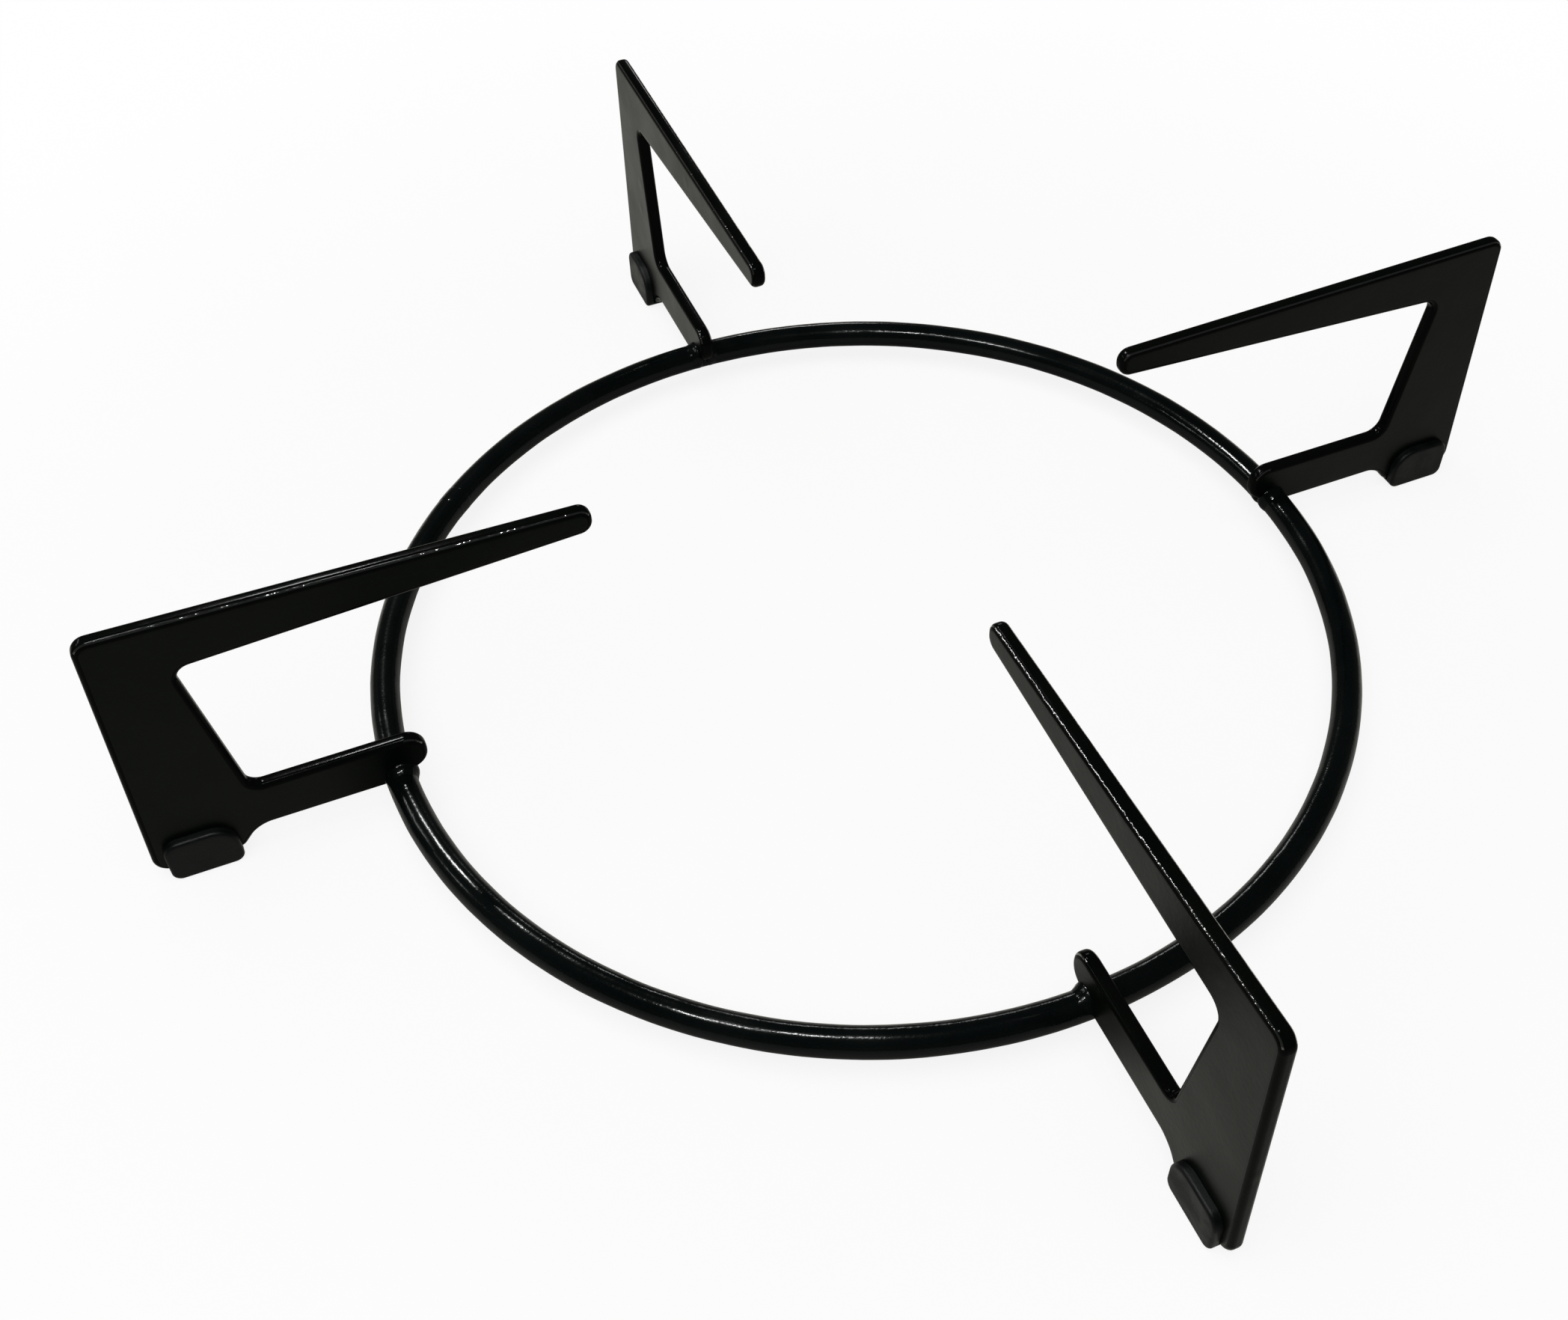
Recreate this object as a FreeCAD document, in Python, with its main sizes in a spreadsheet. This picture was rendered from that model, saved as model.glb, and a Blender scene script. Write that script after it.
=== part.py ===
import FreeCAD, Part
import Sketcher
import math
import os

# Pan support for a gas burner: a ring of round steel wire that carries four
# upright plate arms, each standing on a rubber boot.
# Sizes are in millimetres and Z is up. The floor is z = 0, and the axis of the
# ring is the Z axis. Two arms stand along X and two along Y.

doc = FreeCAD.newDocument("pan_support")

# Driving dimensions: name, size and what it measures. A reach is a distance
# from the axis of the ring, and a height is measured from the floor.
DRIVING_SIZES = [
    ("ring_radius", 100.0, "ring axis to the centre line of the wire"),
    ("wire_diameter", 6.0, "round wire of the ring"),
    ("ring_height", 7.0, "height of the wire's centre line"),
    ("seam_length", 3.0, "butt weld that closes the ring, along the wire"),
    ("seam_crown", 0.15, "how far the dressed butt weld stands proud of the wire"),
    ("plate_thickness", 3.0, "sheet that the arms are cut from"),
    ("plate_edge_round", 0.5, "rounding of the enamelled plate edges"),
    ("pan_height", 63.8, "height of the top bar at its outer end"),
    ("pan_fall", 2.2, "how much lower the top bar is at its tip"),
    ("tip_reach", 54.6, "reach of the tip of the top bar"),
    ("tip_depth", 5.6, "depth of the top bar at its tip"),
    ("shoulder_depth", 11.9, "depth of the top bar at the window's outer corner"),
    ("foot_reach", 148.5, "reach of the lower outer corner"),
    ("leg_lean", 3.1, "how far the upper outer corner stands inside the lower one"),
    ("leg_low_width", 21.9, "width of the leg at the window's lower corner"),
    ("leg_high_width", 13.8, "width of the leg at the window's upper corner"),
    ("foot_width", 16.8, "width of the foot tab"),
    ("sole_thickness", 1.4, "rubber under the foot tab, which is the tab's height"),
    ("bar_underside", 6.0, "height of the lower bar's underside"),
    ("bar_top", 17.0, "height of the lower bar's upper edge"),
    ("step_run", 3.8, "run of the slope from the foot tab up to the lower bar"),
    ("nose_overhang", 6.4, "how far the lower bar's nose reaches inside the wire's centre line"),
    ("nose_underside", 8.2, "height of the nose's underside"),
    ("full_round_share", 0.46, "corner radius at a round end as a share of its depth"),
    ("shoulder_round", 3.0, "radius of the upper outer corner"),
    ("foot_outer_round", 3.6, "radius of the lower outer corner"),
    ("foot_inner_round", 2.5, "radius of the foot tab's inner corner"),
    ("step_round", 5.5, "hollow radius from the step to the lower bar"),
    ("window_low_round", 2.8, "radius of the window's lower outer corner"),
    ("window_high_round", 2.8, "radius of the window's upper outer corner"),
    ("notch_clearance", 0.1, "gap between the wire and the notch that it lies in"),
    ("boot_wall", 1.8, "rubber on each face of the plate"),
    ("boot_cover", 8.6, "how far the boot reaches up the plate"),
    ("boot_setback", 2.7, "boot's outer end to the lower outer corner"),
    ("boot_end_gap", 0.3, "boot's inner end to the foot tab's inner edge"),
    ("boot_inner_round", 5.0, "radius of the boot's upper inner corner"),
    ("boot_outer_round", 3.0, "radius of the boot's upper outer corner"),
    ("boot_sole_round", 2.0, "radius of the boot's two lower corners"),
    ("boot_edge_round", 0.6, "rounding of the boot's outer edges"),
    ("boot_clearance", 0.05, "gap between the boot's slot and each plate face"),
    ("nub_diameter", 4.0, "rubber nub that snaps into the foot tab"),
    ("nub_height", 4.4, "nub's centre above the foot tab's lower edge"),
    ("nub_clearance", 0.1, "gap between the nub and its hole"),
    ("weld_leg", 1.1, "weld bead on the plate, outwards from the wire"),
    ("weld_run", 2.4, "weld bead along the wire, from the plate face"),
    ("weld_toe", 0.15, "thickness of the bead where it runs out on the wire"),
]

sheet = doc.addObject("Spreadsheet::Sheet", "sizes")
for row, (name, size, meaning) in enumerate(DRIVING_SIZES, 1):
    sheet.set(f"A{row}", name)
    sheet.set(f"B{row}", str(size))
    sheet.set(f"C{row}", meaning)
    sheet.setAlias(f"B{row}", name)
doc.recompute()

# Places that several pieces share, as formulas on the sheet.
HALF_PLATE = "sizes.plate_thickness / 2"
WIRE_RADIUS = "sizes.wire_diameter / 2"
TIP_HEIGHT = "sizes.pan_height - sizes.pan_fall"
SHOULDER_REACH = "sizes.foot_reach - sizes.leg_lean"
NOSE_REACH = "sizes.ring_radius - sizes.nose_overhang"
WINDOW_LOW_REACH = "sizes.foot_reach - sizes.leg_low_width"
WINDOW_HIGH_REACH = f"{SHOULDER_REACH} - sizes.leg_high_width"
FOOT_INNER_REACH = "sizes.foot_reach - sizes.foot_width"
SEAM_ANGLE = "sizes.seam_length / sizes.ring_radius * 180 / pi"
BOOT_INNER_REACH = "sizes.foot_reach - sizes.foot_width + sizes.boot_end_gap"
BOOT_OUTER_REACH = "sizes.foot_reach - sizes.boot_setback"
BOOT_TOP = "sizes.sole_thickness + sizes.boot_cover"
BOOT_THICKNESS = "sizes.plate_thickness + 2 * sizes.boot_wall"
SLOT_HALF_WIDTH = "sizes.plate_thickness / 2 + sizes.boot_clearance"
NUB_REACH = f"({BOOT_INNER_REACH} + {BOOT_OUTER_REACH}) / 2"
NUB_HEIGHT = "sizes.sole_thickness + sizes.nub_height"
WELD_RADIUS = "sizes.wire_diameter / 2 + sizes.weld_leg"
WELD_TOE_RADIUS = "sizes.wire_diameter / 2 + sizes.weld_toe"

# Each arm: its name, its turn about the ring's axis in degrees, and where its
# two faces look to.
ARMS = [
    ("right", 0, {1: "back", -1: "front"}),
    ("back", 90, {1: "left", -1: "right"}),
    ("left", 180, {1: "front", -1: "back"}),
    ("front", 270, {1: "right", -1: "left"}),
]
# Where round the ring the wire's two ends meet, in degrees from the right arm.
SEAM_TURN = 135
# Two places nearer than this are the same place.
MATCH = 1e-4
# A cutting outline runs this many times past the size that it cuts.
OVERCUT = 2


def value(formula):
    """Number that a formula on the sheet gives."""
    return float(sheet.evalExpression(formula))


def new_body(name, turn=0):
    """Body of one sub-part, turned about the ring's axis."""
    body = doc.addObject("PartDesign::Body", name)
    body.Label = name
    turned = FreeCAD.Rotation(FreeCAD.Vector(0, 0, 1), turn)
    body.Placement = FreeCAD.Placement(FreeCAD.Vector(0, 0, 0), turned)
    return body


def new_sketch(body, role, name):
    """Sketch on one of the body's own origin planes."""
    sketch = body.newObject("Sketcher::SketchObject", name)
    plane = next(f for f in body.Origin.OriginFeatures if f.Role == role)
    sketch.AttachmentSupport = [(plane, "")]
    sketch.MapMode = "FlatFace"
    return sketch


def bind(sketch, constraint, name, formula):
    """Add a constraint and tie its size to the sheet."""
    index = sketch.addConstraint(constraint)
    sketch.renameConstraint(index, name)
    sketch.setExpression(f"Constraints.{name}", formula)


def draw_outline(sketch, corners):
    """Closed outline of straight edges through named corners.

    Each corner is its name and the formulas of its two coordinates.
    """
    points = [FreeCAD.Vector(value(x), value(y), 0) for _, x, y in corners]
    count = len(points)
    for index, start in enumerate(points):
        line = Part.LineSegment(start, points[(index + 1) % count])
        sketch.addGeometry(line, False)
    for index in range(count):
        joined = Sketcher.Constraint("Coincident", index, 2, (index + 1) % count, 1)
        sketch.addConstraint(joined)
    for index, (name, x, y) in enumerate(corners):
        across = Sketcher.Constraint("DistanceX", -1, 1, index, 1, points[index].x)
        bind(sketch, across, f"{name}_across", x)
        up = Sketcher.Constraint("DistanceY", -1, 1, index, 1, points[index].y)
        bind(sketch, up, f"{name}_up", y)


def draw_circle(sketch, x, y, radius):
    """Circle whose centre and radius follow the sheet."""
    centre = FreeCAD.Vector(value(x), value(y), 0)
    circle = Part.Circle(centre, FreeCAD.Vector(0, 0, 1), value(radius))
    index = sketch.addGeometry(circle, False)
    across = Sketcher.Constraint("DistanceX", -1, 1, index, 3, centre.x)
    bind(sketch, across, f"centre_across_{index}", x)
    up = Sketcher.Constraint("DistanceY", -1, 1, index, 3, centre.y)
    bind(sketch, up, f"centre_up_{index}", y)
    size = Sketcher.Constraint("Radius", index, value(radius))
    bind(sketch, size, f"radius_{index}", radius)


def add_feature(body, kind, name, **properties):
    """Feature at the end of the body's tree."""
    feature = body.newObject(kind, name)
    for key, item in properties.items():
        setattr(feature, key, item)
    body.Tip = feature
    return feature


def pad_both_ways(body, sketch, name, length):
    """Pad to both sides of the sketch's plane."""
    pad = add_feature(body, "PartDesign::Pad", name, Profile=sketch, SideType="Symmetric")
    pad.setExpression("Length", length)
    doc.recompute()
    return pad


def pocket_both_ways(body, sketch, name):
    """Pocket through the whole body, to both sides of the sketch's plane."""
    before = body.Shape.Volume
    pocket = add_feature(body, "PartDesign::Pocket", name, Profile=sketch)
    pocket.Type = "ThroughAll"
    pocket.SideType = "Symmetric"
    doc.recompute()
    if not body.Shape.Volume < before - MATCH:
        raise RuntimeError(f"{body.Label}: {name} cuts nothing")
    return pocket


def round_corners(body, base, name, corners, radius):
    """Fillet the edges that run through the plate at the given corners."""
    edges = []
    for x, z in corners:
        for number, edge in enumerate(base.Shape.Edges, 1):
            ends = [vertex.Point for vertex in edge.Vertexes]
            at_corner = [abs(p.x - value(x)) < MATCH and abs(p.z - value(z)) < MATCH for p in ends]
            if len(ends) == 2 and all(at_corner):
                edges.append(f"Edge{number}")
    if len(edges) != len(corners):
        raise RuntimeError(f"{body.Label}: {name} found {len(edges)} of {len(corners)} edges")
    fillet = add_feature(body, "PartDesign::Fillet", name, Base=(base, edges))
    fillet.setExpression("Radius", radius)
    doc.recompute()
    return fillet


def round_face_edges(body, base, name, half_thickness, radius):
    """Fillet the outlines of the two faces that look along Y."""
    edges = []
    for number, edge in enumerate(base.Shape.Edges, 1):
        box = edge.BoundBox
        flat = box.YLength < MATCH
        if flat and abs(abs(box.YMin) - value(half_thickness)) < MATCH:
            edges.append(f"Edge{number}")
    fillet = add_feature(body, "PartDesign::Fillet", name, Base=(base, edges))
    fillet.setExpression("Radius", radius)
    doc.recompute()
    return fillet


def make_ring():
    """Wire ring, open at the seam where its two ends meet."""
    body = new_body("wire_ring", SEAM_TURN)
    section = new_sketch(body, "XZ_Plane", "ring_section")
    draw_circle(section, "sizes.ring_radius", "sizes.ring_height", WIRE_RADIUS)
    bend = add_feature(body, "PartDesign::Revolution", "ring_bend", Profile=section)
    bend.ReferenceAxis = (section, ["V_Axis"])
    bend.setExpression("Angle", f"360 - {SEAM_ANGLE}")
    doc.recompute()
    return body


def make_seam_weld():
    """Dressed butt weld that fills the ring's seam."""
    turn = SEAM_TURN - value(SEAM_ANGLE)
    body = new_body("ring_seam_weld", turn)
    body.setExpression("Placement.Rotation.Angle", f"{SEAM_TURN} - {SEAM_ANGLE}")
    section = new_sketch(body, "XZ_Plane", "seam_section")
    draw_circle(section, "sizes.ring_radius", "sizes.ring_height", f"{WIRE_RADIUS} + sizes.seam_crown")
    bead = add_feature(body, "PartDesign::Revolution", "seam_bead", Profile=section)
    bead.ReferenceAxis = (section, ["V_Axis"])
    bead.setExpression("Angle", SEAM_ANGLE)
    doc.recompute()
    return body


def make_arm(side, turn):
    """Plate arm: a C outline with a notch for the wire and a hole for the boot."""
    body = new_body(f"{side}_arm", turn)
    tip_top = ("sizes.tip_reach", TIP_HEIGHT)
    shoulder = (SHOULDER_REACH, "sizes.pan_height")
    foot_outer = ("sizes.foot_reach", "sizes.sole_thickness")
    foot_inner = (FOOT_INNER_REACH, "sizes.sole_thickness")
    step = (f"{FOOT_INNER_REACH} - sizes.step_run", "sizes.bar_underside")
    notch_low = ("sizes.ring_radius", "sizes.bar_underside")
    notch_high = ("sizes.ring_radius", "sizes.nose_underside")
    nose_low = (NOSE_REACH, "sizes.nose_underside")
    nose_high = (NOSE_REACH, "sizes.bar_top")
    window_low = (WINDOW_LOW_REACH, "sizes.bar_top")
    window_high = (WINDOW_HIGH_REACH, "sizes.pan_height - sizes.shoulder_depth")
    tip_low = ("sizes.tip_reach", f"{TIP_HEIGHT} - sizes.tip_depth")
    outline = new_sketch(body, "XZ_Plane", f"{side}_arm_outline")
    draw_outline(outline, [
        ("tip_top", *tip_top),
        ("shoulder", *shoulder),
        ("foot_outer", *foot_outer),
        ("foot_inner", *foot_inner),
        ("step", *step),
        ("notch_low", *notch_low),
        ("notch_high", *notch_high),
        ("nose_low", *nose_low),
        ("nose_high", *nose_high),
        ("window_low", *window_low),
        ("window_high", *window_high),
        ("tip_low", *tip_low),
    ])
    blank = pad_both_ways(body, outline, f"{side}_arm_blank", "sizes.plate_thickness")

    tip_round = "sizes.full_round_share * sizes.tip_depth"
    nose_round = "sizes.full_round_share * (sizes.bar_top - sizes.nose_underside)"
    rounds = [
        ("tip", [tip_top, tip_low], tip_round),
        ("nose", [nose_low, nose_high], nose_round),
        ("shoulder", [shoulder], "sizes.shoulder_round"),
        ("foot_outer", [foot_outer], "sizes.foot_outer_round"),
        ("foot_inner", [foot_inner], "sizes.foot_inner_round"),
        ("step", [step], "sizes.step_round"),
        ("window_low", [window_low], "sizes.window_low_round"),
        ("window_high", [window_high], "sizes.window_high_round"),
    ]
    shape = blank
    for place, corners, radius in rounds:
        shape = round_corners(body, shape, f"{side}_{place}_round", corners, radius)
    round_face_edges(body, shape, f"{side}_arm_edges", HALF_PLATE, "sizes.plate_edge_round")

    notch = new_sketch(body, "XZ_Plane", f"{side}_arm_notch")
    notch_radius = f"{WIRE_RADIUS} + sizes.notch_clearance"
    draw_circle(notch, "sizes.ring_radius", "sizes.ring_height", notch_radius)
    pocket_both_ways(body, notch, f"{side}_arm_wire_notch")

    hole = new_sketch(body, "XZ_Plane", f"{side}_arm_hole")
    draw_circle(hole, NUB_REACH, NUB_HEIGHT, "sizes.nub_diameter / 2 + sizes.nub_clearance")
    pocket_both_ways(body, hole, f"{side}_arm_nub_hole")
    return body


def make_boot(side, turn):
    """Rubber boot: a slotted pad with a nub that snaps into the foot tab."""
    body = new_body(f"{side}_boot", turn)
    sole_outer = (BOOT_OUTER_REACH, "0")
    sole_inner = (BOOT_INNER_REACH, "0")
    top_inner = (BOOT_INNER_REACH, BOOT_TOP)
    top_outer = (BOOT_OUTER_REACH, BOOT_TOP)
    outline = new_sketch(body, "XZ_Plane", f"{side}_boot_outline")
    draw_outline(outline, [
        ("sole_outer", *sole_outer),
        ("sole_inner", *sole_inner),
        ("top_inner", *top_inner),
        ("top_outer", *top_outer),
    ])
    shape = pad_both_ways(body, outline, f"{side}_boot_block", BOOT_THICKNESS)
    rounds = [
        ("top_inner", [top_inner], "sizes.boot_inner_round"),
        ("top_outer", [top_outer], "sizes.boot_outer_round"),
        ("sole", [sole_outer, sole_inner], "sizes.boot_sole_round"),
    ]
    for place, corners, radius in rounds:
        shape = round_corners(body, shape, f"{side}_boot_{place}_round", corners, radius)
    half_boot = f"({BOOT_THICKNESS}) / 2"
    round_face_edges(body, shape, f"{side}_boot_edges", half_boot, "sizes.boot_edge_round")

    slot = new_sketch(body, "YZ_Plane", f"{side}_boot_slot_section")
    slot_top = f"{OVERCUT} * ({BOOT_TOP})"
    draw_outline(slot, [
        ("floor_near", f"-({SLOT_HALF_WIDTH})", "sizes.sole_thickness"),
        ("floor_far", SLOT_HALF_WIDTH, "sizes.sole_thickness"),
        ("mouth_far", SLOT_HALF_WIDTH, slot_top),
        ("mouth_near", f"-({SLOT_HALF_WIDTH})", slot_top),
    ])
    pocket_both_ways(body, slot, f"{side}_boot_slot")

    nub = new_sketch(body, "XZ_Plane", f"{side}_boot_nub_section")
    draw_circle(nub, NUB_REACH, NUB_HEIGHT, "sizes.nub_diameter / 2")
    nub_length = "sizes.plate_thickness + sizes.boot_wall"
    pad_both_ways(body, nub, f"{side}_boot_nub", nub_length)
    return body


def draw_bead(sketch, face):
    """Half section of a weld bead about the tangent line of the wire.

    The bead is full at the plate's face and runs out along the wire in a
    hollow curve. Face is 1 or -1, for the plate's face that looks along Y or
    against it. The one construction line is the axis that the section turns
    about.
    """
    axis_reach = value("sizes.ring_radius")
    full_reach = axis_reach + value(WELD_RADIUS)
    toe_reach = axis_reach + value(WELD_TOE_RADIUS)
    plate_face = face * value(HALF_PLATE)
    run_out = plate_face + face * value("sizes.weld_run")
    axis_start = FreeCAD.Vector(axis_reach, plate_face, 0)
    full = FreeCAD.Vector(full_reach, plate_face, 0)
    toe = FreeCAD.Vector(toe_reach, run_out, 0)
    axis_end = FreeCAD.Vector(axis_reach, run_out, 0)
    plate_line = sketch.addGeometry(Part.LineSegment(axis_start, full), False)
    toe_line = sketch.addGeometry(Part.LineSegment(toe, axis_end), False)
    axis_line = sketch.addGeometry(Part.LineSegment(axis_end, axis_start), False)
    turning_axis = sketch.addGeometry(Part.LineSegment(axis_start, axis_end), True)

    # The hollow meets the wire at a tangent, so its centre is level with the toe.
    run = value("sizes.weld_run")
    rise = full_reach - toe_reach
    radius = (run * run + rise * rise) / (2 * rise)
    centre = FreeCAD.Vector(toe_reach + radius, run_out, 0)
    sweep = math.atan2(run, radius - rise)
    circle = Part.Circle(centre, FreeCAD.Vector(0, 0, 1), radius)
    if face > 0:
        hollow = sketch.addGeometry(Part.ArcOfCircle(circle, math.pi, math.pi + sweep), False)
        at_toe, at_plate = 1, 2
    else:
        hollow = sketch.addGeometry(Part.ArcOfCircle(circle, math.pi - sweep, math.pi), False)
        at_plate, at_toe = 1, 2

    joints = [
        (plate_line, 2, hollow, at_plate),
        (hollow, at_toe, toe_line, 1),
        (toe_line, 2, axis_line, 1),
        (axis_line, 2, plate_line, 1),
        (turning_axis, 1, axis_line, 2),
        (turning_axis, 2, axis_line, 1),
    ]
    for joint in joints:
        sketch.addConstraint(Sketcher.Constraint("Coincident", *joint))
    sketch.addConstraint(Sketcher.Constraint("Horizontal", plate_line))
    sketch.addConstraint(Sketcher.Constraint("Horizontal", toe_line))
    sketch.addConstraint(Sketcher.Constraint("Horizontal", hollow, 3, toe_line, 1))
    sketch.addConstraint(Sketcher.Constraint("Vertical", axis_line))
    reach = Sketcher.Constraint("DistanceX", -1, 1, plate_line, 1, axis_reach)
    bind(sketch, reach, "axis_reach", "sizes.ring_radius")
    plate = Sketcher.Constraint("DistanceY", -1, 1, plate_line, 1, plate_face)
    bind(sketch, plate, "half_plate", f"{face} * {HALF_PLATE}")
    leg = Sketcher.Constraint("DistanceX", plate_line, 1, plate_line, 2, full_reach - axis_reach)
    bind(sketch, leg, "full_radius", WELD_RADIUS)
    toe_size = Sketcher.Constraint("DistanceX", toe_line, 2, toe_line, 1, toe_reach - axis_reach)
    bind(sketch, toe_size, "toe_radius", WELD_TOE_RADIUS)
    along = Sketcher.Constraint("DistanceY", plate_line, 2, toe_line, 1, run_out - plate_face)
    bind(sketch, along, "run", f"{face} * sizes.weld_run")


def make_weld(side, turn, face, outlook, ring):
    """Weld bead where one face of an arm crosses the wire.

    It stands on the plate's face, is trimmed level with the lower bar's
    underside and the nose's, and fits the wire exactly.
    """
    name = f"{side}_arm_weld_{outlook}"
    body = new_body(f"{name}_bead", turn)
    profile = new_sketch(body, "XY_Plane", f"{name}_profile")
    profile.setExpression("AttachmentOffset.Base.z", "sizes.ring_height")
    draw_bead(profile, face)
    bead = add_feature(body, "PartDesign::Revolution", f"{name}_turned", Profile=profile)
    bead.ReferenceAxis = (profile, ["Axis0"])
    bead.Angle = 360
    doc.recompute()

    below = new_sketch(body, "XZ_Plane", f"{name}_below")
    inboard = f"sizes.ring_radius - {OVERCUT} * ({WELD_RADIUS})"
    outboard = f"sizes.ring_radius + {OVERCUT} * ({WELD_RADIUS})"
    deep = f"sizes.ring_height - {OVERCUT} * ({WELD_RADIUS})"
    draw_outline(below, [
        ("deep_inboard", inboard, deep),
        ("deep_outboard", outboard, deep),
        ("bar_outboard", outboard, "sizes.bar_underside"),
        ("bar_middle", "sizes.ring_radius", "sizes.bar_underside"),
        ("nose_middle", "sizes.ring_radius", "sizes.nose_underside"),
        ("nose_inboard", inboard, "sizes.nose_underside"),
    ])
    pocket_both_ways(body, below, f"{name}_trim")

    weld = doc.addObject("Part::Cut", name)
    weld.Base = body
    weld.Tool = ring
    weld.Label = name
    doc.recompute()
    return weld


def check_document(sub_parts):
    """Stop if any object failed, or if a sub-part has no sound solid."""
    for item in doc.Objects:
        if "Invalid" in item.State or "Error" in item.State:
            raise RuntimeError(f"{item.Name} failed: {item.State}")
    for item in sub_parts:
        shape = item.Shape
        if shape.isNull() or not shape.isValid() or len(shape.Solids) != 1:
            raise RuntimeError(f"{item.Label} is not one sound solid")


ring = make_ring()
sub_parts = [ring, make_seam_weld()]
for side, turn, outlooks in ARMS:
    sub_parts.append(make_arm(side, turn))
    sub_parts.append(make_boot(side, turn))
    for face, outlook in outlooks.items():
        sub_parts.append(make_weld(side, turn, face, outlook, ring))
doc.recompute()
check_document(sub_parts)

os.makedirs("parts", exist_ok=True)
for item in sub_parts:
    item.Shape.exportStep(os.path.join("parts", f"{item.Label}.step"))
    print(f"{item.Label}: {item.Shape.Volume:.1f} cubic millimetres")
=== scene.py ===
"""Pan support for a gas burner: a wire ring, four plate arms, their welds and rubber boots.

Sizes are in metres and Z is up. The floor is z = 0 and the axis of the ring is
the Z axis. Pieces that repeat are modelled once on the right arm, which runs
along +X, and each copy is turned about the ring's axis.
"""

import logging
import math
from dataclasses import dataclass, field
from enum import Enum
from typing import Callable, Union

import bmesh
import bpy
from mathutils import Matrix, Vector


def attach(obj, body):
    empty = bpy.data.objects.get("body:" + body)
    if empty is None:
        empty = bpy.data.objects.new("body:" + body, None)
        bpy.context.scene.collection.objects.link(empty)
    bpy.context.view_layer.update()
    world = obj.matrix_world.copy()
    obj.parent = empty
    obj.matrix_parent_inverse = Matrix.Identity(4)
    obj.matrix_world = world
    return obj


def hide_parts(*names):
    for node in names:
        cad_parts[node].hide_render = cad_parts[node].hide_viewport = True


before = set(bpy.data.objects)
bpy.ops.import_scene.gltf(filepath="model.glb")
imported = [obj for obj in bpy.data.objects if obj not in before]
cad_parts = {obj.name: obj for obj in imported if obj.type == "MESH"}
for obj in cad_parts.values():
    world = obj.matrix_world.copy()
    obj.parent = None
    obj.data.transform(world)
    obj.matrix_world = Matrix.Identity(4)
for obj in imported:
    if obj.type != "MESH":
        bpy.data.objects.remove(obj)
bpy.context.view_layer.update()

log = logging.getLogger("pan_support")

Colour = tuple[float, float, float]
Value = Union[bpy.types.NodeSocket, float]
Tone = Union[bpy.types.NodeSocket, Colour]

MM = 0.001
RING_RADIUS = 100.0 * MM
WIRE_RADIUS = 3.0 * MM
WIRE_HEIGHT = 7.0 * MM
PLATE = 3.0 * MM

# Distances that count as nothing when a mesh is merged or searched, and the
# number of corners past which a face is an end or an outline.
NEAR = 0.001 * MM
SAME_PLACE = 0.01 * MM
MANY_CORNERS = 20

# Finer layers of a lumpy skin, and how far large faces set the shading.
LUMP_LAYERS = 2
FLAT_WEIGHT = 100

# Sockets of a Mix node that blends colours.
MIX_SHARE, MIX_FIRST, MIX_SECOND, MIX_RESULT = 0, 6, 7, 2

# Limits of the shared effects, as shares of a noise's or a cell's range.
NIB_CHANCE = 0.93
NIB_EDGE = (0.22, 0.04)
PATCH_EDGE = (0.35, 0.65)
DUST_EDGE = (0.5, 0.8)


class Pick(Enum):
    """Which elements of a mesh a test looks at."""

    CORNERS = "VERT"
    EDGES = "EDGE"
    FACES = "FACE"


class Side(Enum):
    """Arm of the stand, with its turn about the ring's axis in degrees."""

    RIGHT = 0
    BACK = 90
    LEFT = 180
    FRONT = 270

    @property
    def label(self) -> str:
        """Name of the side in small letters."""
        return self.name.lower()

    def outlook(self, face: int) -> str:
        """Side that one face of the arm's plate looks to.

        Args:
            face: 1 for the face that is a quarter turn ahead of the arm, or -1.

        Returns:
            The name of that side.
        """
        return Side((self.value + 90 * face) % 360).label


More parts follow.
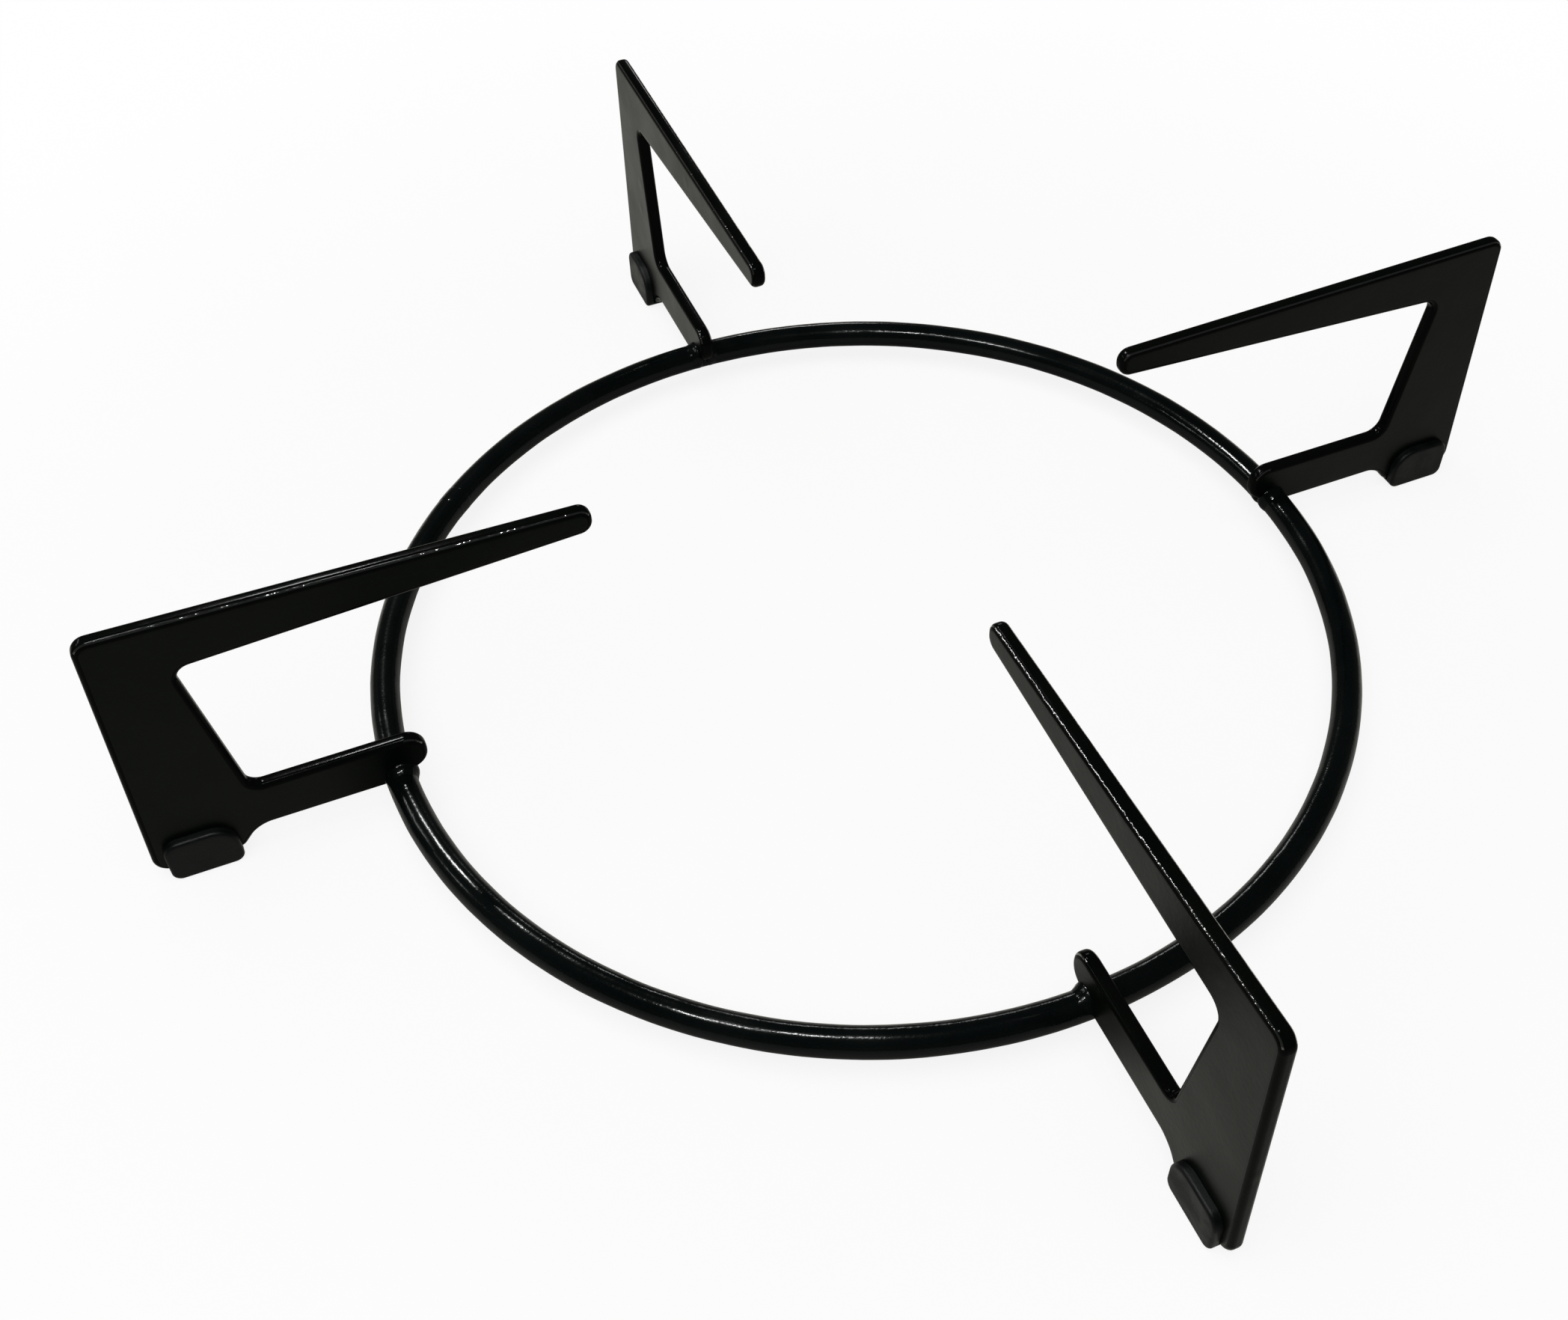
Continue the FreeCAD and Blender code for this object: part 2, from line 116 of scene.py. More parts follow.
class Bench:
    """Modelling steps that several pieces share."""

    @staticmethod
    def clear() -> None:
        """Leave edit mode and leave nothing selected."""
        if bpy.context.object is not None and bpy.context.object.mode != "OBJECT":
            bpy.ops.object.mode_set(mode="OBJECT")
        bpy.ops.object.select_all(action="DESELECT")

    @staticmethod
    def choose(piece: bpy.types.Object) -> None:
        """Select one piece alone, in object mode.

        Args:
            piece: The piece.
        """
        Bench.clear()
        piece.select_set(True)
        bpy.context.view_layer.objects.active = piece

    @staticmethod
    def start(name: str) -> bpy.types.Object:
        """Name the primitive that was just added, and settle its place in its mesh.

        Args:
            name: Name of the piece.

        Returns:
            The piece, in object mode.
        """
        piece = bpy.context.object
        piece.name = name
        piece.data.name = name
        bpy.ops.object.transform_apply(location=True, rotation=True, scale=True)
        return piece

    @staticmethod
    def edit(piece: bpy.types.Object) -> None:
        """Open one piece in edit mode, with nothing of it selected.

        Args:
            piece: The piece.
        """
        Bench.choose(piece)
        bpy.ops.object.mode_set(mode="EDIT")
        bpy.ops.mesh.select_all(action="DESELECT")

    @staticmethod
    def close() -> None:
        """Merge doubles, turn the faces outwards and leave edit mode."""
        bpy.ops.mesh.select_mode(type="VERT")
        bpy.ops.mesh.select_all(action="SELECT")
        bpy.ops.mesh.remove_doubles(threshold=NEAR)
        bpy.ops.mesh.normals_make_consistent(inside=False)
        bpy.ops.object.mode_set(mode="OBJECT")

    @staticmethod
    def pick(piece: bpy.types.Object, kind: Pick, test: Callable[..., bool]) -> None:
        """Select the elements of the open piece that pass a test, and no others.

        Args:
            piece: The piece in edit mode.
            kind: Corners, edges or faces.
            test: Says of one element whether it is wanted.
        """
        bpy.ops.mesh.select_mode(type=kind.value)
        bpy.ops.mesh.select_all(action="DESELECT")
        shape = bmesh.from_edit_mesh(piece.data)
        elements = {Pick.CORNERS: shape.verts, Pick.EDGES: shape.edges, Pick.FACES: shape.faces}[kind]
        for element in elements:
            if test(element):
                element.select_set(True)
        shape.select_flush_mode()
        bmesh.update_edit_mesh(piece.data)

    @staticmethod
    def pick_cross_edge(piece: bpy.types.Object, reach: float, height: float) -> None:
        """Select the edge that runs through a flat piece at one corner of its outline.

        Args:
            piece: The piece in edit mode, with its faces across Y.
            reach: The corner's place along X.
            height: The corner's place along Z.
        """
        Bench.pick(
            piece, Pick.EDGES,
            lambda edge: all(
                abs(vert.co.x - reach) < SAME_PLACE and abs(vert.co.z - height) < SAME_PLACE
                for vert in edge.verts
            ),
        )

    @staticmethod
    def pick_ends(piece: bpy.types.Object, near: Callable[[Vector], bool]) -> None:
        """Select the many-sided faces whose middle passes a test.

        Args:
            piece: The piece in edit mode.
            near: Says of a face's middle whether it is wanted.
        """
        Bench.pick(
            piece, Pick.FACES,
            lambda face: len(face.verts) > MANY_CORNERS and near(face.calc_center_median()),
        )

    @staticmethod
    def bevel(width: float, segments: int) -> None:
        """Round the selected edges.

        Args:
            width: How far the rounding reaches from an edge.
            segments: Number of steps across it.
        """
        bpy.ops.mesh.bevel(
            offset_type="OFFSET", offset=width, segments=segments, affect="EDGES", clamp_overlap=False,
        )

    @staticmethod
    def soften_faces(piece: bpy.types.Object, half: float, width: float, segments: int, band: float) -> None:
        """Round the outlines of both faces of a flat piece, and lay a flat band inside them.

        Args:
            piece: The piece in edit mode, with its faces across Y.
            half: Half its thickness.
            width: Width of the rounding.
            segments: Number of steps across the rounding.
            band: Width of the band.
        """
        Bench.pick(
            piece, Pick.EDGES,
            lambda edge: all(abs(abs(vert.co.y) - half) < NEAR for vert in edge.verts)
            and edge.verts[0].co.y * edge.verts[1].co.y > 0,
        )
        Bench.bevel(width, segments)
        Bench.pick_ends(piece, lambda middle: True)
        bpy.ops.mesh.inset(thickness=band, use_boundary=True, use_even_offset=True)

    @staticmethod
    def finish_modifier(piece: bpy.types.Object, modifier: bpy.types.Modifier) -> None:
        """Apply one modifier to its piece."""
        Bench.choose(piece)
        bpy.ops.object.modifier_apply(modifier=modifier.name)

    @staticmethod
    def cut(piece: bpy.types.Object, tool: bpy.types.Object) -> None:
        """Cut a tool's shape out of a piece, and remove the tool.

        Args:
            piece: The piece.
            tool: The shape to cut away.
        """
        modifier = piece.modifiers.new("cut", "BOOLEAN")
        modifier.operation = "DIFFERENCE"
        modifier.solver = "EXACT"
        modifier.object = tool
        Bench.finish_modifier(piece, modifier)
        bpy.data.objects.remove(tool)

    @staticmethod
    def subdivide(piece: bpy.types.Object) -> None:
        """Smooth the shape of a piece by one level of subdivision.

        Args:
            piece: The piece.
        """
        modifier = piece.modifiers.new("soften", "SUBSURF")
        modifier.levels = 1
        modifier.render_levels = 1
        Bench.finish_modifier(piece, modifier)

    @staticmethod
    def roughen(piece: bpy.types.Object, grain: float, height: float) -> None:
        """Raise and sink the skin of a piece by soft irregular lumps.

        Args:
            piece: The piece.
            grain: Size of a lump.
            height: Height from the lowest to the highest place.
        """
        lumps = bpy.data.textures.new(f"{piece.name}_lumps", "CLOUDS")
        lumps.noise_scale = grain
        lumps.noise_depth = LUMP_LAYERS
        modifier = piece.modifiers.new("lumps", "DISPLACE")
        modifier.texture = lumps
        modifier.texture_coords = "LOCAL"
        modifier.strength = height
        modifier.mid_level = 0.5
        Bench.finish_modifier(piece, modifier)

    @staticmethod
    def smooth(piece: bpy.types.Object, angle: float) -> None:
        """Shade a piece smooth, and keep its flat faces flat.

        Args:
            piece: The piece.
            angle: Angle in degrees past which an edge stays sharp.
        """
        Bench.choose(piece)
        bpy.ops.object.shade_smooth_by_angle(angle=math.radians(angle))
        modifier = piece.modifiers.new("flat", "WEIGHTED_NORMAL")
        modifier.weight = FLAT_WEIGHT
        modifier.keep_sharp = True
        Bench.finish_modifier(piece, modifier)

    @staticmethod
    def turned_copy(piece: bpy.types.Object, name: str, side: Side) -> bpy.types.Object:
        """Copy a piece of the right arm to another arm.

        Args:
            piece: The piece on the right arm.
            name: Name of the copy.
            side: The arm that the copy belongs to.

        Returns:
            The copy, with a mesh of its own that holds its place.
        """
        Bench.choose(piece)
        bpy.ops.object.duplicate(linked=False)
        copy = bpy.context.object
        copy.name = name
        copy.data.name = name
        copy.rotation_euler = (0.0, 0.0, math.radians(side.value))
        bpy.ops.object.transform_apply(location=True, rotation=True, scale=True)
        return copy


class Graph:
    """Nodes of one material or group, with the steps that several of them share."""

    def __init__(self, tree: bpy.types.NodeTree) -> None:
        """Start on an empty tree."""
        self.tree = tree
        tree.nodes.clear()

    def add(self, kind: str, **values: object) -> bpy.types.Node:
        """Add a node.

        Args:
            kind: The node's type.
            **values: Properties of the node, or inputs by name with spaces as underscores.

        Returns:
            The node.
        """
        node = self.tree.nodes.new(kind)
        for key, item in values.items():
            label = key.replace("_", " ")
            if label in node.inputs:
                node.inputs[label].default_value = item
            else:
                setattr(node, key, item)
        return node

    def link(self, start: bpy.types.NodeSocket, end: bpy.types.NodeSocket) -> None:
        """Join an output to an input."""
        self.tree.links.new(start, end)

    def feed(self, socket: bpy.types.NodeSocket, item: Union[Value, Tone]) -> None:
        """Give an input its output, number or colour.

        Args:
            socket: The input.
            item: What it gets.
        """
        if isinstance(item, bpy.types.NodeSocket):
            self.link(item, socket)
        else:
            socket.default_value = (*item, 1.0) if isinstance(item, tuple) else item

    def math(self, operation: str, *values: Value) -> bpy.types.NodeSocket:
        """Add a Math node.

        Args:
            operation: Its operation.
            *values: Numbers or outputs that it works on.

        Returns:
            The node's output.
        """
        node = self.add("ShaderNodeMath", operation=operation)
        for socket, item in zip(node.inputs, values):
            self.feed(socket, item)
        return node.outputs[0]

    def blend(self, share: Value, first: Tone, second: Tone) -> bpy.types.NodeSocket:
        """Blend two colours.

        Args:
            share: Share of the second colour.
            first: A colour or an output.
            second: A colour or an output.

        Returns:
            The blended colour.
        """
        node = self.add("ShaderNodeMix", data_type="RGBA")
        for index, item in ((MIX_SHARE, share), (MIX_FIRST, first), (MIX_SECOND, second)):
            self.feed(node.inputs[index], item)
        return node.outputs[MIX_RESULT]

    def ramp(
        self, value: bpy.types.NodeSocket, start: tuple[float, float],
        result: tuple[float, float] = (0.0, 1.0), soft: bool = True,
    ) -> bpy.types.NodeSocket:
        """Add a ramp.

        Args:
            value: What the ramp reads.
            start: Where the ramp begins and ends.
            result: What it gives there.
            soft: Whether it begins and ends softly.

        Returns:
            The ramp's output.
        """
        node = self.add("ShaderNodeMapRange", interpolation_type="SMOOTHSTEP" if soft else "LINEAR")
        for label, number in zip(("From Min", "From Max", "To Min", "To Max"), (*start, *result)):
            node.inputs[label].default_value = number
        self.link(value, node.inputs["Value"])
        return node.outputs["Result"]

    def coordinates(self) -> bpy.types.NodeSocket:
        """Coordinates on the piece."""
        return self.add("ShaderNodeTexCoord").outputs["Object"]

    def noise(self, scale: bpy.types.NodeSocket, detail: float, roughness: float) -> bpy.types.NodeSocket:
        """Add soft noise that is fixed to the piece.

        Args:
            scale: Its scale.
            detail: Its number of finer layers.
            roughness: How strong the finer layers are.

        Returns:
            The noise, between 0 and 1.
        """
        node = self.add("ShaderNodeTexNoise", Detail=detail, Roughness=roughness)
        self.link(self.coordinates(), node.inputs["Vector"])
        self.link(scale, node.inputs["Scale"])
        return node.outputs["Fac"]


@dataclass(frozen=True)
class Effect:
    """Node group that several finishes share."""

    name: str
    inputs: tuple[tuple[str, float], ...]
    outputs: tuple[str, ...]
    wire: Callable[[Graph, bpy.types.Node, bpy.types.Node], None]

    def tree(self) -> bpy.types.NodeTree:
        """Make the node group, or find the one that was made before.

        Returns:
            The node group.
        """
        made = bpy.data.node_groups.get(self.name)
        if made is not None:
            return made
        tree = bpy.data.node_groups.new(self.name, "ShaderNodeTree")
        for label, start in self.inputs:
            socket = tree.interface.new_socket(name=label, in_out="INPUT", socket_type="NodeSocketFloat")
            socket.default_value = start
        for label in self.outputs:
            tree.interface.new_socket(name=label, in_out="OUTPUT", socket_type="NodeSocketFloat")
        graph = Graph(tree)
        self.wire(graph, graph.add("NodeGroupInput"), graph.add("NodeGroupOutput"))
        return tree

    def place(self, graph: Graph, **values: float) -> bpy.types.Node:
        """Put the group into a material.

        Args:
            graph: The material's nodes.
            **values: Inputs by name, with spaces as underscores.

        Returns:
            The group node.
        """
        node = graph.add("ShaderNodeGroup", node_tree=self.tree())
        for key, item in values.items():
            node.inputs[key.replace("_", " ")].default_value = item
        return node


def wire_peel(graph: Graph, given: bpy.types.Node, result: bpy.types.Node) -> None:
    """Orange peel of fired enamel: fine dimples over slow waves, with a few raised nibs.

    Args:
        graph: Nodes of the group.
        given: Group input.
        result: Group output.
    """
    cells = graph.add("ShaderNodeTexVoronoi", Randomness=1.0)
    graph.link(graph.coordinates(), cells.inputs["Vector"])
    graph.link(given.outputs["Nib Scale"], cells.inputs["Scale"])
    chance = graph.add("ShaderNodeSeparateColor")
    graph.link(cells.outputs["Color"], chance.inputs["Color"])
    rare = graph.math("GREATER_THAN", chance.outputs["Red"], NIB_CHANCE)
    nibs = graph.math("MULTIPLY", graph.ramp(cells.outputs["Distance"], NIB_EDGE), rare)
    fine = graph.noise(given.outputs["Peel Scale"], detail=2.0, roughness=0.55)
    slow = graph.noise(given.outputs["Wave Scale"], detail=1.0, roughness=0.5)
    peel = graph.math("MULTIPLY", fine, given.outputs["Peel Depth"])
    wave = graph.math("MULTIPLY", slow, given.outputs["Wave Depth"])
    raised = graph.math("MULTIPLY", nibs, given.outputs["Nib Height"])
    graph.link(graph.math("ADD", graph.math("ADD", peel, wave), raised), result.inputs["Height"])


def wire_patches(graph: Graph, given: bpy.types.Node, result: bpy.types.Node) -> None:
    """Soft uneven patches between 0 and 1.

    Args:
        graph: Nodes of the group.
        given: Group input.
        result: Group output.
    """
    cloud = graph.noise(given.outputs["Scale"], detail=3.0, roughness=0.6)
    graph.link(graph.ramp(cloud, PATCH_EDGE), result.inputs["Mask"])


def wire_dust(graph: Graph, given: bpy.types.Node, result: bpy.types.Node) -> None:
    """Fine dust on what faces up.

    Args:
        graph: Nodes of the group.
        given: Group input.
        result: Group output.
    """
    axes = graph.add("ShaderNodeSeparateXYZ")
    graph.link(graph.add("ShaderNodeNewGeometry").outputs["Normal"], axes.inputs["Vector"])
    upward = graph.math("MAXIMUM", axes.outputs["Z"], 0.0)
    cloud = graph.noise(given.outputs["Scale"], detail=4.0, roughness=0.7)
    lying = graph.math("MULTIPLY", graph.ramp(cloud, DUST_EDGE, soft=False), upward)
    graph.link(graph.math("MULTIPLY", lying, given.outputs["Amount"]), result.inputs["Mask"])


PEEL = Effect(
    "enamel_peel",
    (("Peel Scale", 900.0), ("Peel Depth", 1.0), ("Wave Scale", 200.0), ("Wave Depth", 1.0),
     ("Nib Scale", 150.0), ("Nib Height", 1.0)),
    ("Height",),
    wire_peel,
)
PATCHES = Effect("uneven_patches", (("Scale", 40.0),), ("Mask",), wire_patches)
DUST = Effect("settled_dust", (("Scale", 2500.0), ("Amount", 0.2)), ("Mask",), wire_dust)


@dataclass(frozen=True)
class Finish:
    """Skin in two tones that change in soft patches, with a fine relief and a little dust.

    The dust dulling is how much rougher full dust makes the skin.
    """

    name: str
    colour: Colour = (0.0012, 0.0022, 0.0021)
    patch_colour: Colour = (0.0022, 0.0034, 0.0032)
    patch_scale: float = 45.0
    gloss: float = 0.2
    roughness: float = 0.1
    roughness_spread: float = 0.06
    peel_scale: float = 900.0
    peel_depth: float = 0.5
    wave_scale: float = 160.0
    wave_depth: float = 2.0
    nib_scale: float = 90.0
    nib_height: float = 0.8
    relief: float = 0.06 * MM
    dust: float = 0.012
    dust_scale: float = 2600.0
    dust_colour: Colour = (0.16, 0.155, 0.15)
    dust_dulling: float = 1.0

    def material(self) -> bpy.types.Material:
        """Make the material of this finish, or find the one that was made before.

        Returns:
            The material.
        """
        made = bpy.data.materials.get(self.name)
        if made is not None:
            return made
        made = bpy.data.materials.new(self.name)
        made.use_nodes = True
        graph = Graph(made.node_tree)
        output = graph.add("ShaderNodeOutputMaterial")
        shader = graph.add("ShaderNodeBsdfPrincipled", IOR=1.5, Specular_IOR_Level=self.gloss)
        graph.link(shader.outputs["BSDF"], output.inputs["Surface"])
        patches = PATCHES.place(graph, Scale=self.patch_scale).outputs["Mask"]
        dust = DUST.place(graph, Scale=self.dust_scale, Amount=self.dust).outputs["Mask"]
        tone = graph.blend(patches, self.colour, self.patch_colour)
        graph.link(graph.blend(dust, tone, self.dust_colour), shader.inputs["Base Color"])
        rough = graph.math("MULTIPLY_ADD", patches, self.roughness_spread, self.roughness)
        graph.link(graph.math("MULTIPLY_ADD", dust, self.dust_dulling, rough), shader.inputs["Roughness"])
        peel = PEEL.place(
            graph, Peel_Scale=self.peel_scale, Peel_Depth=self.peel_depth, Wave_Scale=self.wave_scale,
            Wave_Depth=self.wave_depth, Nib_Scale=self.nib_scale, Nib_Height=self.nib_height,
        )
        bump = graph.add("ShaderNodeBump", Strength=1.0, Distance=self.relief)
        graph.link(peel.outputs["Height"], bump.inputs["Height"])
        graph.link(bump.outputs["Normal"], shader.inputs["Normal"])
        return made


WIRE_ENAMEL = Finish(
    "wire_enamel", gloss=0.055, roughness=0.12, peel_scale=1300.0, wave_scale=120.0, wave_depth=3.2,
)
FACE_ENAMEL = Finish(
    "plate_face_enamel", colour=(0.0006, 0.0016, 0.0009), patch_colour=(0.0014, 0.0024, 0.0015),
    gloss=0.038, roughness=0.3, peel_depth=0.35, wave_scale=90.0,
)
RIM_ENAMEL = Finish(
    "plate_rim_enamel", colour=(0.0014, 0.002, 0.0016), patch_colour=(0.0022, 0.0028, 0.0022),
    gloss=0.011, peel_scale=1100.0, peel_depth=0.2, wave_scale=200.0, wave_depth=0.4,
)
EDGE_ENAMEL = Finish(
    "plate_edge_enamel", colour=(0.0014, 0.002, 0.0016), patch_colour=(0.0022, 0.0028, 0.0022),
    gloss=0.8, roughness=0.08, peel_depth=2.8, wave_scale=280.0, wave_depth=5.0,
)
WELD_ENAMEL = Finish("weld_enamel", gloss=0.05, roughness=0.12, peel_scale=1500.0, peel_depth=0.8)
BOOT_RUBBER = Finish(
    "boot_rubber_matte", colour=(0.0009, 0.0017, 0.0015), patch_colour=(0.0024, 0.0036, 0.0032),
    patch_scale=160.0, gloss=0.06, roughness=0.45, roughness_spread=0.15, peel_scale=2600.0,
    peel_depth=1.0, wave_scale=500.0, wave_depth=1.0, nib_scale=400.0, nib_height=0.3,
    relief=0.03 * MM, dust=0.02, dust_scale=3200.0, dust_colour=(0.14, 0.14, 0.135), dust_dulling=0.0,
)


class Zone(Enum):
    """Zone of an arm's skin, with its finish."""

    FACE = FACE_ENAMEL
    RIM = RIM_ENAMEL
    BROW = EDGE_ENAMEL


def hand_over(piece: bpy.types.Object, node: str) -> None:
    """Let a piece stand for its CAD node.

    Args:
        piece: The finished piece.
        node: The CAD node that it replaces.
    """
    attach(piece, "root")
    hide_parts(node)
    log.info("%s: %d corners, stands for %s", piece.name, len(piece.data.vertices), node)


@dataclass
class WireRing:
    """Ring of round wire, with the butt weld that closes it.

    The bend starts at the seam's turn and ends one seam length before it. The
    weld's reach to each side of the seam's middle is a share of that length.
    """

    radius: float = RING_RADIUS
    wire_radius: float = WIRE_RADIUS
    height: float = WIRE_HEIGHT
    seam_turn: float = 135.0
    seam_length: float = 3.0 * MM
    seam_crown: float = 0.04 * MM
    weld_reach: float = 0.85
    end_share: float = 0.94
    steps: int = 300
    weld_steps: int = 10
    section_corners: int = 32
    lump_grain: float = 9.0 * MM
    lump_height: float = 0.16 * MM
    smooth_angle: float = 60.0

    def bent_wire(
        self, name: str, thickness: float, start: float, sweep: float, steps: int,
    ) -> bpy.types.Object:
        """Bend a length of round wire about the ring's axis.

        Args:
            name: Name of the piece.
            thickness: Radius of the wire.
            start: Where the bend starts, in degrees.
            sweep: How far it goes, in degrees.
            steps: Number of steps along the bend.

        Returns:
            The bent wire, with closed ends.
        """
        Bench.clear()
        bpy.ops.mesh.primitive_circle_add(
            vertices=self.section_corners, radius=thickness, fill_type="NGON",
            location=(self.radius, 0.0, self.height), rotation=(math.pi / 2, 0.0, 0.0),
        )
        piece = Bench.start(name)
        Bench.edit(piece)
        bpy.ops.mesh.select_all(action="SELECT")
        # Both operations turn the other way about +Z here, hence the minus signs.
        bpy.ops.transform.rotate(
            value=-math.radians(start), orient_axis="Z", center_override=(0.0, 0.0, 0.0),
        )
        bpy.ops.mesh.spin(
            steps=steps, angle=math.radians(sweep), center=(0.0, 0.0, 0.0), axis=(0.0, 0.0, -1.0),
        )
        Bench.close()
        return piece

    def build(self) -> tuple[bpy.types.Object, bpy.types.Object]:
        """Model the ring and its butt weld.

        Returns:
            The ring and the weld.
        """
        gap = math.degrees(self.seam_length / self.radius)
        middle, half = self.seam_turn - gap / 2, gap * self.weld_reach
        ring = self.bent_wire("enamelled_ring", self.wire_radius, self.seam_turn, 360.0 - gap, self.steps)
        weld = self.bent_wire(
            "ring_butt_weld", self.wire_radius + self.seam_crown, middle - half, 2 * half, self.weld_steps,
        )
        self.sink_ends(weld, middle, half)
        for piece in (ring, weld):
            Bench.roughen(piece, self.lump_grain, self.lump_height)
            Bench.smooth(piece, self.smooth_angle)
        return ring, weld

    def sink_ends(self, weld: bpy.types.Object, middle: float, half: float) -> None:
        """Sink both ends of the butt weld under the skin of the wire.

        Args:
            weld: The weld.
            middle: Turn of its middle about the ring's axis, in degrees.
            half: Turn from its middle to each end, in degrees.
        """
        Bench.edit(weld)
        for turn in (math.radians(middle - half), math.radians(middle + half)):
            centre = Vector((self.radius * math.cos(turn), self.radius * math.sin(turn), self.height))
            Bench.pick_ends(weld, lambda place: (place - centre).length < SAME_PLACE)
            bpy.ops.transform.resize(value=(self.end_share,) * 3, center_override=centre)
        Bench.close()

    def dress(self, ring: bpy.types.Object, weld: bpy.types.Object) -> None:
        """Give the ring and its weld their enamel.

        Args:
            ring: The ring.
            weld: Its butt weld.
        """
        ring.data.materials.append(WIRE_ENAMEL.material())
        weld.data.materials.append(WIRE_ENAMEL.material())
        hand_over(ring, "wire_ring")
        hand_over(weld, "ring_seam_weld")


@dataclass
class Corner:
    """Corner of the arm's outline, with the radius that it is rounded to."""

    reach: float
    height: float
    radius: float = 0.0

    def towards(self, other: "Corner") -> Vector:
        """Direction from this corner to another."""
        return Vector((other.reach - self.reach, other.height - self.height)).normalized()


@dataclass
class PlateArm:
    """Plate arm with a C outline, notched for the wire.

    A reach is a distance from the axis of the ring. The brow is the upper part
    of the rounding along the top bar and the nose, where the enamel is glossy.
    """

    thickness: float = PLATE
    edge_round: float = 1.1 * MM
    film_width: float = 0.6 * MM
    pan_height: float = 63.8 * MM
    pan_fall: float = 2.2 * MM
    tip_reach: float = 54.6 * MM
    tip_depth: float = 5.6 * MM
    shoulder_depth: float = 11.9 * MM
    foot_reach: float = 148.5 * MM
    leg_lean: float = 3.1 * MM
    leg_low_width: float = 21.9 * MM
    leg_high_width: float = 13.8 * MM
    foot_width: float = 16.8 * MM
    sole_thickness: float = 1.4 * MM
    bar_underside: float = 6.0 * MM
    bar_top: float = 17.0 * MM
    step_run: float = 3.8 * MM
    nose_overhang: float = 6.4 * MM
    nose_underside: float = 8.2 * MM
    full_round_share: float = 0.46
    shoulder_round: float = 3.0 * MM
    foot_outer_round: float = 3.6 * MM
    foot_inner_round: float = 2.5 * MM
    step_round: float = 5.5 * MM
    window_round: float = 2.8 * MM
    notch_clearance: float = 0.1 * MM
    notch_corners: int = 64
    round_segments: int = 10
    edge_segments: int = 5
    smooth_angle: float = 40.0
    flat_facing: float = 0.99
    brow_facing: tuple[float, float] = (0.6, 0.85)
    brow_lift: float = 0.35
    low_bar_height: float = 21.9 * MM

    def corners(self) -> list[Corner]:
        """Lay out the arm's outline.

        Returns:
            Its corners, in order round it.
        """
        tip_top = self.pan_height - self.pan_fall
        shoulder = self.foot_reach - self.leg_lean
        foot_inner = self.foot_reach - self.foot_width
        nose = RING_RADIUS - self.nose_overhang
        tip_round = self.full_round_share * self.tip_depth
        nose_round = self.full_round_share * (self.bar_top - self.nose_underside)
        return [
            Corner(self.tip_reach, tip_top, tip_round),
            Corner(shoulder, self.pan_height, self.shoulder_round),
            Corner(self.foot_reach, self.sole_thickness, self.foot_outer_round),
            Corner(foot_inner, self.sole_thickness, self.foot_inner_round),
            Corner(foot_inner - self.step_run, self.bar_underside, self.step_round),
            Corner(RING_RADIUS, self.bar_underside),
            Corner(RING_RADIUS, self.nose_underside),
            Corner(nose, self.nose_underside, nose_round),
            Corner(nose, self.bar_top, nose_round),
            Corner(self.foot_reach - self.leg_low_width, self.bar_top, self.window_round),
            Corner(shoulder - self.leg_high_width, self.pan_height - self.shoulder_depth, self.window_round),
            Corner(self.tip_reach, tip_top - self.tip_depth, tip_round),
        ]

    def blank(self, corners: list[Corner]) -> bpy.types.Object:
        """Cut the sharp-cornered blank of the right arm.

        Args:
            corners: The outline.

        Returns:
            The blank, in edit mode.
        """
        half = self.thickness / 2
        Bench.clear()
        bpy.ops.mesh.primitive_circle_add(
            vertices=len(corners), radius=self.pan_height / 2, fill_type="NGON",
            location=(RING_RADIUS, half, self.pan_height / 2), rotation=(math.pi / 2, 0.0, 0.0),
        )
        arm = Bench.start("enamelled_right_arm")
        Bench.edit(arm)
        for index, corner in enumerate(corners):
            shape = bmesh.from_edit_mesh(arm.data)
            shape.verts.ensure_lookup_table()
            way = Vector((corner.reach, half, corner.height)) - shape.verts[index].co
            Bench.pick(arm, Pick.CORNERS, lambda vert: vert.index == index)
            bpy.ops.transform.translate(value=way)
        bpy.ops.mesh.select_mode(type="FACE")
        bpy.ops.mesh.select_all(action="SELECT")
        bpy.ops.mesh.extrude_region_move(TRANSFORM_OT_translate={"value": (0.0, -self.thickness, 0.0)})
        bpy.ops.mesh.select_all(action="SELECT")
        bpy.ops.mesh.normals_make_consistent(inside=False)
        return arm

    def build(self) -> bpy.types.Object:
        """Model the right arm.

        Returns:
            The arm.
        """
        corners = self.corners()
        arm = self.blank(corners)
        for before, corner, after in zip(corners[-1:] + corners, corners, corners[1:] + corners[:1]):
            if corner.radius > 0.0:
                opening = corner.towards(before).angle(corner.towards(after))
                Bench.pick_cross_edge(arm, corner.reach, corner.height)
                Bench.bevel(corner.radius / math.tan(opening / 2), self.round_segments)
        Bench.soften_faces(arm, self.thickness / 2, self.edge_round, self.edge_segments, self.film_width)
        Bench.close()
        Bench.cut(arm, self.notch_tool())
        Bench.smooth(arm, self.smooth_angle)
        return arm

    def notch_tool(self) -> bpy.types.Object:
        """Make the bar that cuts the seat of the wire.

        Returns:
            The bar.
        """
        Bench.clear()
        bpy.ops.mesh.primitive_cylinder_add(
            vertices=self.notch_corners, radius=WIRE_RADIUS + self.notch_clearance, depth=4 * self.thickness,
            location=(RING_RADIUS, 0.0, WIRE_HEIGHT), rotation=(math.pi / 2, 0.0, 0.0),
        )
        return Bench.start("notch_tool")

